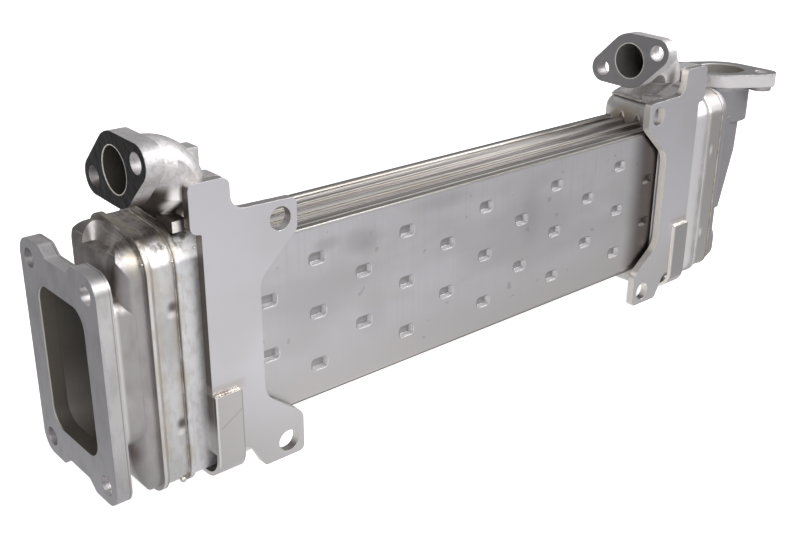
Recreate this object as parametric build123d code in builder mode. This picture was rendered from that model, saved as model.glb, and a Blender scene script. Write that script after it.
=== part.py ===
"""EGR cooler: welded plate-and-duct exhaust gas cooler with cast coolant elbows.

Frame: millimetres, +X along the cooler from the gas inlet to the gas outlet,
-Y towards the bracket side, +Z up. The origin is the centre of the outer face
of the gas inlet flange.
"""
import math
import os

from build123d import *

os.makedirs("parts", exist_ok=True)

# Gas inlet flange
FLANGE_T = 7.0
FLANGE_BOLT_W, FLANGE_BOLT_H = 52.0, 87.0
FLANGE_BOLT_D, FLANGE_LOBE_R = 9.0, 9.0
STEP_MOUTH, STEP_FLOOR, STEP_DEPTH, STEP_R = 30.0, 19.0, 4.5, 3.0
GAS_MOUTH_W, GAS_MOUTH_H, GAS_MOUTH_R = 42.5, 69.0, 9.0

# Sheet metal section shared by diffuser, headers and tanks. Its middle lies a
# little below the middle of the gas inlet, and its top rises towards the rear.
SHEET = 1.5
BODY_W, BODY_H, BODY_DROP, BODY_RISE = 46.0, 120.0, 2.0, 3.5
BODY_FRONT_R, BODY_REAR_R, BODY_FOOT_R = 15.0, 9.5, 10.0
LIP_OUT, LIP_L = 1.5, 2.5

# Lengths along the cooler
NECK_L = 9.0
DIFFUSER_L = 23.0
DIFFUSER_INSET, DIFFUSER_EDGE_R, DIFFUSER_SIDE_R = 0.5, 13.0, 6.0
DIFFUSER_FOOT_L, DIFFUSER_FOOT_H = 13.0, 20.0
INLET_RIM_L, OUTLET_RIM_L = 11.0, 14.0
TUBE_PLATE_T = 2.0
INLET_TANK_L, OUTLET_TANK_L = 42.3, 52.0
CORE_L = 288.2
TANK_EDGE_R = 9.0

# Pocket pressed into the upper edge of the diffuser
POCKET_W, POCKET_Y, POCKET_R = 19.0, 0.0, 3.0
POCKET_BACK_X, POCKET_FLOOR_Z = 23.5, 51.0
POCKET_DRAFT = 30.0

# Core
DUCTS = 3
DUCT_T, DUCT_H, DUCT_R, DUCT_WALL = 7.8, 86.0, 2.0, 1.0
COOLANT_GAP = 4.1
SLOT_CLEARANCE = 0.1
DUCT_STAND = 0.5
FIN_SHEET, FIN_HALF_PITCH = 0.5, 2.9
FIN_END_GAP = 8.0
COVER_SHEET = 1.0
RIM_RISE, RIM_OVERLAP, RIM_R = 2.5, 1.3, 3.2
STRIP_SHEET, STRIP_LEG, STRIP_EAVES, STRIP_PEAK = 0.8, 5.0, 2.4, 3.6
CORE_REACH = 5.0

# Dimples of the covers
DIMPLE_L, DIMPLE_H, DIMPLE_R = 9.0, 5.6, 1.7
DIMPLE_DEPTH, DIMPLE_TAPER = 2.4, 20.0
DIMPLE_PITCH_X, DIMPLE_PITCH_Z, DIMPLE_COLUMNS = 27.8, 27.3, 11

# Brackets. The outline is measured from the upper bolt hole.
BRACKET_T = 4.5
BRACKET_HOLE_D, BRACKET_HOLE_SPAN = 11.0, 112.0
BRACKET_HOLE_X = 92.0
BRACKET_SPACING = 271.0
BRACKET_DROP = 1.5
TAB_L, TAB_R, TAB_TOP, TAB_FOOT = 44.8, 24.8, 24.4, 9.3
EAR_OUT, EAR_END = 8.9, 8.3
UPPER_EAR_L, UPPER_NECK_L = 7.0, 26.0
LOWER_EAR_L, LOWER_NECK_L = 12.5, 28.0
FOOT_NEAR, FOOT_FAR = 13.5, 21.0
STRIP_RIGHT, STRIP_LEFT, STRIP_SHOULDER = 11.8, 39.6, 2.2
BRACKET_CORNERS = (3, 4, 7, 3, 6, 12, 12, 7, 3, 3, 5, 3, 1, 4)

# Straps
STRAP_W, STRAP_T, STRAP_BEND_R = 14.0, 2.0, 10.0
STRAP_TOP_Z, STRAP_FOOT, STRAP_INSET = -20.0, 11.0, 0.2
STRAP_CLEARANCE = 0.5

# Coolant elbows
COOLANT_BORE_D, COOLANT_WALL, COOLANT_BEND_R = 20.0, 2.2, 14.5
COOLANT_Y, COOLANT_Z = -12.0, 86.5
COOLANT_FLANGE_T, COOLANT_FLANGE_R = 8.0, 15.8
COOLANT_EAR_R, COOLANT_BOLT_SPAN, COOLANT_BOLT_D = 8.0, 40.0, 9.0
COOLANT_TILT = 20.8
INLET_ELBOW_X, INLET_NECK_X = 24.0, 51.0
OUTLET_ELBOW_X, OUTLET_NECK_X = 350.5, 381.0
FOOT_L, FOOT_W, FOOT_R, FOOT_Y = 12.0, 26.0, 4.5, 5.5
FOOT_WALL, FOOT_SADDLE = 2.0, 5.0
ARM_H, ARM_DEPTH, ARM_R = 9.0, 10.0, 2.0
LUG_L, LUG_W, LUG_H, LUG_X, LUG_RISE = 10.0, 9.0, 10.0, 4.0, 4.0
PAD_L, PAD_W, PAD_H, PAD_X, PAD_DROP = 7.0, 13.0, 5.0, -4.0, 1.0

# Gas outlet elbow
OUTLET_BORE_D, OUTLET_FLANGE_R, OUTLET_FLANGE_T = 30.0, 22.0, 8.5
OUTLET_EAR_R, OUTLET_BOLT_SPAN, OUTLET_BOLT_D = 9.0, 52.0, 9.0
OUTLET_TURN = -64.0
OUTLET_FACE_Z = 64.5
OUTLET_BORE_RUN = 28.0
BOSS_D, BOSS_H = 14.0, 3.0
CAST_WALL = 4.0
DISH_L, DISH_R, DISH_INSET = 11.5, 8.0, 1.0
PLINTH_W, PLINTH_H, PLINTH_R = 40.0, 25.0, 9.0
PLINTH_T, PLINTH_EDGE_R = 4.5, 6.0
HOOD_W, HOOD_R, HOOD_START = 34.0, 9.0, 10.5
HOOD_FOOT_Z, HOOD_TOP_Z = -25.0, 33.0
HOOD_FOOT_L, HOOD_TOP_L, HOOD_ROOF = 24.0, 35.5, 4.0
HOOD_SHOULDER_L, HOOD_SHOULDER_Z = 34.2, 12.0
RISER_R = 19.5

# Stations along X
DIFFUSER_X = FLANGE_T
INLET_HEADER_X = DIFFUSER_X + DIFFUSER_L
INLET_TANK_X = INLET_HEADER_X + INLET_RIM_L
INLET_WALL_X = INLET_TANK_X + INLET_TANK_L
OUTLET_WALL_X = INLET_WALL_X + CORE_L
OUTLET_HEADER_X = OUTLET_WALL_X + OUTLET_TANK_L
OUTLET_CAST_X = OUTLET_HEADER_X + OUTLET_RIM_L
MID_X = BRACKET_HOLE_X + BRACKET_SPACING / 2

# Stations across Y and Z
FLANGE_W = FLANGE_BOLT_W + 2 * FLANGE_LOBE_R
FLANGE_H = FLANGE_BOLT_H + 2 * FLANGE_LOBE_R
BODY_TOP_Z = BODY_H / 2 - BODY_DROP
BODY_FOOT_Z = -BODY_H / 2 - BODY_DROP
NECK_FOOT_Z = BODY_TOP_Z + BODY_RISE / 2
DUCT_PITCH = DUCT_T + COOLANT_GAP
STACK_Y = (DUCTS - 1) / 2 * DUCT_PITCH + DUCT_T / 2
COVER_Y = STACK_Y + COOLANT_GAP + COVER_SHEET
RIM_Z = DUCT_H / 2 + RIM_RISE
BRACKET_FACE_Y = BODY_W / 2 + BRACKET_T
BRACKET_TOP_HOLE_Z = BRACKET_HOLE_SPAN / 2 - BRACKET_DROP
STRIP_FOOT_Z = BODY_FOOT_Z + STRAP_BEND_R + STRAP_CLEARANCE
FIN_BAYS = 2 * int((DUCT_H - 2 * DUCT_R - FIN_SHEET) / (2 * FIN_HALF_PITCH))


# Gas inlet flange: plate with four corner lobes and a shallow step between them
with BuildPart() as gas_inlet_flange:
    with BuildSketch(Plane.YZ):
        RectangleRounded(FLANGE_W, FLANGE_H, FLANGE_LOBE_R)
        for side in (1, -1):
            with BuildLine():
                Polyline(
                    (-STEP_MOUTH / 2, side * FLANGE_H / 2),
                    (-STEP_FLOOR / 2, side * (FLANGE_H / 2 - STEP_DEPTH)),
                    (STEP_FLOOR / 2, side * (FLANGE_H / 2 - STEP_DEPTH)),
                    (STEP_MOUTH / 2, side * FLANGE_H / 2),
                    close=True,
                )
            make_face(mode=Mode.SUBTRACT)
        RectangleRounded(GAS_MOUTH_W, GAS_MOUTH_H, GAS_MOUTH_R, mode=Mode.SUBTRACT)
        with GridLocations(FLANGE_BOLT_W, FLANGE_BOLT_H, 2, 2):
            Circle(FLANGE_BOLT_D / 2, mode=Mode.SUBTRACT)
    extrude(amount=FLANGE_T)
    step_edges = (
        gas_inlet_flange.edges()
        .filter_by(Axis.X)
        .filter_by(lambda e: abs(e.center().Y) < STEP_MOUTH / 2 + 0.5
                   and abs(e.center().Z) > FLANGE_H / 2 - STEP_DEPTH - 0.5)
    )
    fillet(step_edges, STEP_R)


def body_section(grow=0.0):
    """Outline shared by diffuser lip, headers and tanks, grown outwards."""
    with BuildSketch(mode=Mode.PRIVATE) as outline:
        front_top = (-BODY_W / 2, BODY_TOP_Z - BODY_RISE / 2)
        rear_top = (BODY_W / 2, BODY_TOP_Z + BODY_RISE / 2)
        Polygon((-BODY_W / 2, BODY_FOOT_Z), (BODY_W / 2, BODY_FOOT_Z), rear_top, front_top,
                align=None)
        fillet(outline.vertices().group_by(Axis.Y)[0], BODY_FOOT_R)
        fillet(outline.vertices().sort_by_distance(front_top)[0], BODY_FRONT_R)
        fillet(outline.vertices().sort_by_distance(rear_top)[0], BODY_REAR_R)
        offset(amount=grow, mode=Mode.REPLACE)
    return outline.sketch


def pocket(grow):
    """Drafted cutter that presses the pocket, grown by the sheet inside."""
    front_x = DIFFUSER_X
    length = POCKET_BACK_X + grow - front_x
    floor_z = POCKET_FLOOR_Z - grow
    with BuildPart() as cutter:
        with BuildSketch(Plane.XY.offset(floor_z)):
            with Locations((front_x + length / 2, POCKET_Y)):
                RectangleRounded(length, POCKET_W + 2 * grow, POCKET_R + grow)
        extrude(amount=BODY_TOP_Z + 2 - floor_z, taper=-POCKET_DRAFT)
    return cutter.part


def diffuser_form(grow, neck_start):
    """Diffuser body with rounded upper and lower ends and the neck before it."""
    with BuildPart() as form:
        body_x = DIFFUSER_X + NECK_L - grow
        with BuildSketch(Plane.YZ.offset(body_x)):
            add(body_section(grow - DIFFUSER_INSET))
        extrude(amount=INLET_HEADER_X - body_x)
        with BuildSketch(Plane.XZ.offset(-BODY_W)):
            top = BODY_TOP_Z + BODY_RISE / 2 - DIFFUSER_INSET + grow
            foot = BODY_FOOT_Z + DIFFUSER_INSET - grow
            with BuildLine():
                foot_l, foot_h = DIFFUSER_FOOT_L + grow, DIFFUSER_FOOT_H + grow
                FilletPolyline((INLET_HEADER_X, top), (body_x, top), (body_x, foot + foot_h),
                               radius=DIFFUSER_EDGE_R + grow, close=False)
                EllipticalCenterArc((body_x + foot_l, foot + foot_h), foot_l, foot_h, start_angle=180)
                Line((body_x + foot_l, foot), (INLET_HEADER_X, foot))
                Line((INLET_HEADER_X, foot), (INLET_HEADER_X, top))
            make_face()
        extrude(amount=2 * BODY_W, mode=Mode.INTERSECT)
        with BuildSketch(Plane.XY.offset(foot)):
            half = BODY_W / 2 - DIFFUSER_INSET + grow
            with BuildLine():
                FilletPolyline((INLET_HEADER_X, half), (body_x, half), (body_x, -half),
                               (INLET_HEADER_X, -half), radius=DIFFUSER_SIDE_R + grow, close=False)
                Line((INLET_HEADER_X, -half), (INLET_HEADER_X, half))
            make_face()
        extrude(amount=top - foot, mode=Mode.INTERSECT)
        add(pocket(-grow), mode=Mode.SUBTRACT)
        with BuildSketch(Plane.YZ.offset(neck_start)):
            RectangleRounded(GAS_MOUTH_W + 2 * SHEET + 2 * grow, GAS_MOUTH_H + 2 * SHEET + 2 * grow,
                             GAS_MOUTH_R + SHEET + grow)
        extrude(amount=body_x + DIFFUSER_SIDE_R - neck_start)
    return form.part


# Inlet diffuser: drawn shell that opens from the flange mouth to the full body
with BuildPart() as inlet_diffuser:
    add(diffuser_form(0, DIFFUSER_X))
    with BuildSketch(Plane.YZ.offset(INLET_HEADER_X - LIP_L)):
        add(body_section(LIP_OUT))
    extrude(amount=LIP_L)
    add(diffuser_form(-SHEET, DIFFUSER_X - 1), mode=Mode.SUBTRACT)


def header(rim_x, rim_l, plate_x):
    """Tube plate with a rim: one slot for each gas duct."""
    with BuildPart() as plate:
        with BuildSketch(Plane.YZ.offset(rim_x)):
            add(body_section())
            add(body_section(-SHEET), mode=Mode.SUBTRACT)
        extrude(amount=rim_l)
        with BuildSketch(Plane.YZ.offset(plate_x)):
            add(body_section())
            with GridLocations(DUCT_PITCH, 1, DUCTS, 1):
                RectangleRounded(DUCT_T + 2 * SLOT_CLEARANCE, DUCT_H + 2 * SLOT_CLEARANCE,
                                 DUCT_R + SLOT_CLEARANCE, mode=Mode.SUBTRACT)
        extrude(amount=TUBE_PLATE_T)
    return plate.part


# Headers: pressed tube plates, the rim of each turned to the gas side
with BuildPart() as inlet_header:
    add(header(INLET_HEADER_X, INLET_RIM_L, INLET_TANK_X - TUBE_PLATE_T))
with BuildPart() as outlet_header:
    add(header(OUTLET_HEADER_X, OUTLET_RIM_L, OUTLET_HEADER_X))


def core_window(x, length, clearance):
    """Space that the core takes up where it passes through a tank wall."""
    with BuildPart() as window:
        with BuildSketch(Plane.YZ.offset(x)):
            Rectangle(2 * (STACK_Y + clearance), DUCT_H + 2 * clearance)
            for side in (1, -1):
                inner = STACK_Y - RIM_OVERLAP
                with Locations((side * (inner + COVER_Y) / 2, 0)):
                    Rectangle(COVER_Y - inner + 2 * clearance, 2 * (RIM_Z + clearance))
            half = COOLANT_GAP / 2 + clearance
            eaves = DUCT_H / 2 + STRIP_EAVES + clearance
            peak = DUCT_H / 2 + STRIP_PEAK + clearance
            with GridLocations(DUCT_PITCH, 1, DUCTS - 1, 1):
                Polygon((-half, -eaves), (0, -peak), (half, -eaves),
                        (half, eaves), (0, peak), (-half, eaves), align=None)
        extrude(amount=length)
    return window.part


def coolant_tank(x_start, length, wall_side, neck_x):
    """Jacket round the duct ends, closed by a wall with the core's profile."""
    with BuildPart() as tank:
        with BuildSketch(Plane.YZ.offset(x_start)):
            add(body_section())
        extrude(amount=length)
        end = tank.faces().sort_by(Axis.X)[0 if wall_side < 0 else -1]
        fillet(end.edges(), TANK_EDGE_R)
        lip_x = x_start if wall_side > 0 else x_start + length - LIP_L
        with BuildSketch(Plane.YZ.offset(lip_x)):
            add(body_section(LIP_OUT))
        extrude(amount=LIP_L)
        space_x = x_start - SHEET if wall_side > 0 else x_start + SHEET
        with BuildPart(mode=Mode.PRIVATE) as space:
            with BuildSketch(Plane.YZ.offset(space_x)):
                add(body_section(-SHEET))
            extrude(amount=length)
            far = space.faces().sort_by(Axis.X)[0 if wall_side < 0 else -1]
            fillet(far.edges(), TANK_EDGE_R - SHEET)
        add(space.part, mode=Mode.SUBTRACT)
        add(core_window(x_start - 1, length + 2, SLOT_CLEARANCE), mode=Mode.SUBTRACT)
        with BuildSketch(Plane.XY.offset(NECK_FOOT_Z)):
            with Locations((neck_x, FOOT_Y)):
                RectangleRounded(FOOT_L - 2 * FOOT_WALL, FOOT_W - 2 * FOOT_WALL,
                                 FOOT_R - FOOT_WALL)
        extrude(amount=-(FOOT_SADDLE + SHEET), mode=Mode.SUBTRACT)
    return tank.part


# Coolant tanks, each with its lip on the header side and its wall on the core
with BuildPart() as inlet_coolant_tank:
    add(coolant_tank(INLET_TANK_X, INLET_TANK_L, 1, INLET_NECK_X))
with BuildPart() as outlet_coolant_tank:
    add(coolant_tank(OUTLET_WALL_X, OUTLET_TANK_L, -1, OUTLET_NECK_X))


def gas_duct(y):
    """Flat gas duct that stands a little proud of both tube plates."""
    with BuildPart() as duct:
        start = INLET_TANK_X - TUBE_PLATE_T - DUCT_STAND
        end = OUTLET_HEADER_X + TUBE_PLATE_T + DUCT_STAND
        with BuildSketch(Plane.YZ.offset(start)):
            with Locations((y, 0)):
                RectangleRounded(DUCT_T, DUCT_H, DUCT_R)
                RectangleRounded(DUCT_T - 2 * DUCT_WALL, DUCT_H - 2 * DUCT_WALL,
                                 DUCT_R - DUCT_WALL, mode=Mode.SUBTRACT)
        extrude(amount=end - start)
    return duct.part


def gas_fin(y):
    """Square-wave sheet that fills one duct from side to side."""
    depth = DUCT_T - 2 * DUCT_WALL
    with BuildPart() as fin:
        start = INLET_TANK_X + FIN_END_GAP
        with BuildSketch(Plane.YZ.offset(start)):
            with Locations((y, 0)):
                with GridLocations(1, FIN_HALF_PITCH, 1, FIN_BAYS + 1):
                    Rectangle(depth, FIN_SHEET)
            for side in (1, -1):
                with Locations((y + side * (depth - FIN_SHEET) / 2, side * FIN_HALF_PITCH / 2)):
                    with GridLocations(1, 2 * FIN_HALF_PITCH, 1, FIN_BAYS // 2):
                        Rectangle(FIN_SHEET, FIN_HALF_PITCH + FIN_SHEET)
        extrude(amount=OUTLET_HEADER_X - FIN_END_GAP - start)
    return fin.part


# Gas ducts with their fins, front to rear
with BuildPart() as gas_duct_front:
    add(gas_duct(-DUCT_PITCH))
with BuildPart() as gas_duct_middle:
    add(gas_duct(0))
with BuildPart() as gas_duct_rear:
    add(gas_duct(DUCT_PITCH))
with BuildPart() as gas_fin_front:
    add(gas_fin(-DUCT_PITCH))
with BuildPart() as gas_fin_middle:
    add(gas_fin(0))
with BuildPart() as gas_fin_rear:
    add(gas_fin(DUCT_PITCH))


# Front cover: tray over the outer coolant gap, its rims hooked over the front
# duct, with columns of two and three dimples pressed towards the duct
COVER_X, COVER_L = INLET_WALL_X - CORE_REACH, CORE_L + 2 * CORE_REACH
with BuildPart() as front_cover:
    with BuildSketch(Plane.YZ.offset(COVER_X)):
        rim_in = STACK_Y - RIM_OVERLAP
        with BuildLine():
            FilletPolyline((-rim_in - COVER_SHEET / 2, DUCT_H / 2),
                           (-rim_in - COVER_SHEET / 2, RIM_Z - COVER_SHEET / 2),
                           (-COVER_Y + COVER_SHEET / 2, RIM_Z - COVER_SHEET / 2),
                           (-COVER_Y + COVER_SHEET / 2, -RIM_Z + COVER_SHEET / 2),
                           (-rim_in - COVER_SHEET / 2, -RIM_Z + COVER_SHEET / 2),
                           (-rim_in - COVER_SHEET / 2, -DUCT_H / 2),
                           radius=(COVER_SHEET, RIM_R - COVER_SHEET / 2,
                                   RIM_R - COVER_SHEET / 2, COVER_SHEET))
        trace(line_width=COVER_SHEET)
    extrude(amount=COVER_L)
    wide = DIMPLE_L + 2 * COVER_SHEET * 0.8
    tall = DIMPLE_H + 2 * COVER_SHEET * 0.8
    odd = (DIMPLE_COLUMNS + 1) // 2
    for depth_y, length, height, radius, how in (
        (COVER_Y - COVER_SHEET, wide, tall, DIMPLE_R + COVER_SHEET * 0.8, Mode.ADD),
        (COVER_Y, DIMPLE_L, DIMPLE_H, DIMPLE_R, Mode.SUBTRACT),
    ):
        with BuildSketch(Plane.XZ.offset(depth_y)):
            with Locations((MID_X, 0)):
                with GridLocations(2 * DIMPLE_PITCH_X, DIMPLE_PITCH_Z, odd, 2):
                    RectangleRounded(length, height, radius)
                with GridLocations(2 * DIMPLE_PITCH_X, DIMPLE_PITCH_Z, odd - 1, 3):
                    RectangleRounded(length, height, radius)
        extrude(amount=-DIMPLE_DEPTH, taper=DIMPLE_TAPER, mode=how)

# Rear cover: the same pressing, turned to the other side
with BuildPart() as rear_cover:
    add(front_cover.part)
    mirror(about=Plane.XZ, mode=Mode.REPLACE)


def closing_strip(y, side):
    """Peaked channel that closes a coolant gap between two ducts."""
    half, inner = COOLANT_GAP / 2, COOLANT_GAP / 2 - STRIP_SHEET
    foot = side * (DUCT_H / 2 - STRIP_LEG)
    eaves = side * (DUCT_H / 2 + STRIP_EAVES)
    peak = side * (DUCT_H / 2 + STRIP_PEAK)
    rise = side * STRIP_SHEET * math.hypot(half, STRIP_PEAK - STRIP_EAVES) / half
    with BuildPart() as strip:
        with BuildSketch(Plane.YZ.offset(COVER_X)):
            with Locations((y, 0)):
                Polygon((-half, foot), (-half, eaves), (0, peak), (half, eaves), (half, foot),
                        align=None)
                Polygon((-inner, foot), (-inner, eaves - rise / 2), (0, peak - rise),
                        (inner, eaves - rise / 2), (inner, foot), align=None, mode=Mode.SUBTRACT)
        extrude(amount=COVER_L)
    return strip.part


# Closing strips of the two inner coolant gaps, above and below
with BuildPart() as top_strip_front:
    add(closing_strip(-DUCT_PITCH / 2, 1))
with BuildPart() as top_strip_rear:
    add(closing_strip(DUCT_PITCH / 2, 1))
with BuildPart() as bottom_strip_front:
    add(closing_strip(-DUCT_PITCH / 2, -1))
with BuildPart() as bottom_strip_rear:
    add(closing_strip(DUCT_PITCH / 2, -1))


# Inlet bracket: flat plate with two bolt ears and a tab for the coolant elbow
with BuildPart() as inlet_bracket:
    strip_foot = STRIP_FOOT_Z - BRACKET_TOP_HOLE_Z
    with BuildSketch(Plane(origin=(BRACKET_HOLE_X, -BODY_W / 2, BRACKET_TOP_HOLE_Z),
                           x_dir=(1, 0, 0), z_dir=(0, -1, 0))):
        with BuildLine():
            FilletPolyline(
                (-TAB_L, TAB_TOP),
                (-TAB_R, TAB_TOP),
                (-TAB_R, TAB_FOOT),
                (EAR_OUT, EAR_END),
                (EAR_OUT, -UPPER_EAR_L),
                (-STRIP_RIGHT, -UPPER_NECK_L),
                (-STRIP_RIGHT, -BRACKET_HOLE_SPAN + LOWER_NECK_L),
                (EAR_OUT, -BRACKET_HOLE_SPAN + LOWER_EAR_L),
                (EAR_OUT, -BRACKET_HOLE_SPAN - EAR_END),
                (-FOOT_NEAR, -BRACKET_HOLE_SPAN - EAR_END),
                (-FOOT_FAR, strip_foot),
                (-STRIP_LEFT, strip_foot),
                (-STRIP_LEFT, STRIP_SHOULDER),
                (-TAB_L, STRIP_SHOULDER),
                close=True,
                radius=BRACKET_CORNERS,
            )
        make_face()
        with Locations((0, 0), (0, -BRACKET_HOLE_SPAN)):
            Circle(BRACKET_HOLE_D / 2, mode=Mode.SUBTRACT)
    extrude(amount=BRACKET_T)

with BuildPart() as outlet_bracket:
    add(inlet_bracket.part)
    mirror(about=Plane.YZ.offset(MID_X), mode=Mode.REPLACE)

# Inlet strap: flat bar down the face of the bracket and back under the tank
with BuildPart() as inlet_strap:
    strap_y = BRACKET_FACE_Y + STRAP_T / 2
    strap_z = BODY_FOOT_Z - STRAP_T / 2
    with BuildSketch(Plane.YZ.offset(BRACKET_HOLE_X - STRIP_LEFT + STRAP_INSET)):
        with BuildLine():
            FilletPolyline((-strap_y, STRAP_TOP_Z), (-strap_y, strap_z),
                           (-strap_y + STRAP_FOOT + STRAP_BEND_R, strap_z),
                           radius=STRAP_BEND_R + STRAP_T / 2)
        trace(line_width=STRAP_T)
    extrude(amount=STRAP_W)

with BuildPart() as outlet_strap:
    add(inlet_strap.part)
    mirror(about=Plane.YZ.offset(MID_X), mode=Mode.REPLACE)


def elbow_way(face_x, foot_x, radius, slot_l, slot_w, slot_r):
    """Round pipe from the flange, a quarter bend and a neck down to the slot."""
    bend_x, bend_z = foot_x - COOLANT_BEND_R, COOLANT_Z - COOLANT_BEND_R
    with BuildPart() as way:
        with BuildSketch(Plane.YZ.offset(face_x)):
            with Locations((COOLANT_Y, COOLANT_Z)):
                Circle(radius)
        extrude(amount=bend_x - face_x)
        with BuildSketch(Plane.YZ.offset(bend_x)):
            with Locations((COOLANT_Y, COOLANT_Z)):
                Circle(radius)
        revolve(axis=Axis((bend_x, 0, bend_z), (0, 1, 0)), revolution_arc=90)
        with BuildSketch(Plane.XY.offset(NECK_FOOT_Z)):
            with Locations((foot_x, FOOT_Y)):
                RectangleRounded(slot_l, slot_w, slot_r)
        with BuildSketch(Plane.XY.offset(bend_z)):
            with Locations((foot_x, COOLANT_Y)):
                Circle(radius)
        loft(ruled=True)
        with BuildSketch(Plane.XY.offset(NECK_FOOT_Z)):
            with Locations((foot_x, FOOT_Y)):
                RectangleRounded(slot_l, slot_w, slot_r)
        extrude(amount=-FOOT_SADDLE)
    return way.part


def coolant_elbow(face_x, foot_x, tab_left, tab_right):
    """Casting that turns the coolant from an oval flange down into the tank."""
    tilt = math.radians(COOLANT_TILT)
    ear = (-COOLANT_BOLT_SPAN / 2 * math.cos(tilt), COOLANT_BOLT_SPAN / 2 * math.sin(tilt))
    tab_mid, tab_l = (tab_left + tab_right) / 2, tab_right - tab_left
    tab_z = BRACKET_TOP_HOLE_Z + TAB_TOP
    bore_r = COOLANT_BORE_D / 2
    with BuildPart() as elbow:
        with BuildSketch(Plane.YZ.offset(face_x)):
            with Locations((COOLANT_Y, COOLANT_Z)):
                Circle(COOLANT_FLANGE_R)
                with Locations(ear, (-ear[0], -ear[1])):
                    Circle(COOLANT_EAR_R)
            make_hull()
        extrude(amount=COOLANT_FLANGE_T)
        add(elbow_way(face_x, foot_x, bore_r + COOLANT_WALL, FOOT_L, FOOT_W, FOOT_R))
        with BuildSketch(Plane.XZ.offset(BODY_W / 2)):
            with Locations((tab_mid, tab_z - ARM_H / 2)):
                RectangleRounded(tab_l - 2, ARM_H, ARM_R)
        extrude(amount=-ARM_DEPTH)
        with Locations((foot_x + LUG_X, COOLANT_Y, COOLANT_Z + LUG_RISE - LUG_H / 2)):
            Box(LUG_L, LUG_W, LUG_H)
        with Locations((foot_x + PAD_X, FOOT_Y - FOOT_W / 2 - PAD_W / 2 + FOOT_WALL / 2,
                        BODY_TOP_Z - PAD_DROP + PAD_H / 2)):
            Box(PAD_L, PAD_W, PAD_H)
        with BuildSketch(Plane.XZ.offset(BODY_W / 2)):
            with Locations((tab_mid, tab_z)):
                Rectangle(tab_l + 2, 2 * COOLANT_Z)
        extrude(amount=COOLANT_BORE_D, mode=Mode.SUBTRACT)
        with BuildSketch(Plane.YZ.offset(foot_x - FOOT_L)):
            add(body_section())
        extrude(amount=2 * FOOT_L, mode=Mode.SUBTRACT)
        with BuildSketch(Plane.YZ.offset(face_x)):
            with Locations((COOLANT_Y, COOLANT_Z)):
                with Locations(ear, (-ear[0], -ear[1])):
                    Circle(COOLANT_BOLT_D / 2)
        extrude(amount=COOLANT_FLANGE_T, mode=Mode.SUBTRACT)
        add(elbow_way(face_x, foot_x, bore_r, FOOT_L - 2 * FOOT_WALL, FOOT_W - 2 * FOOT_WALL,
                      FOOT_R - FOOT_WALL), mode=Mode.SUBTRACT)
    return elbow.part


# Coolant elbows: the same casting with a short and a long pipe
with BuildPart() as inlet_coolant_elbow:
    add(coolant_elbow(INLET_ELBOW_X, INLET_NECK_X,
                      BRACKET_HOLE_X - TAB_L, BRACKET_HOLE_X - TAB_R))
with BuildPart() as outlet_coolant_elbow:
    right_hole = BRACKET_HOLE_X + BRACKET_SPACING
    add(coolant_elbow(OUTLET_ELBOW_X, OUTLET_NECK_X, right_hole + TAB_R, right_hole + TAB_L))


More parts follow.
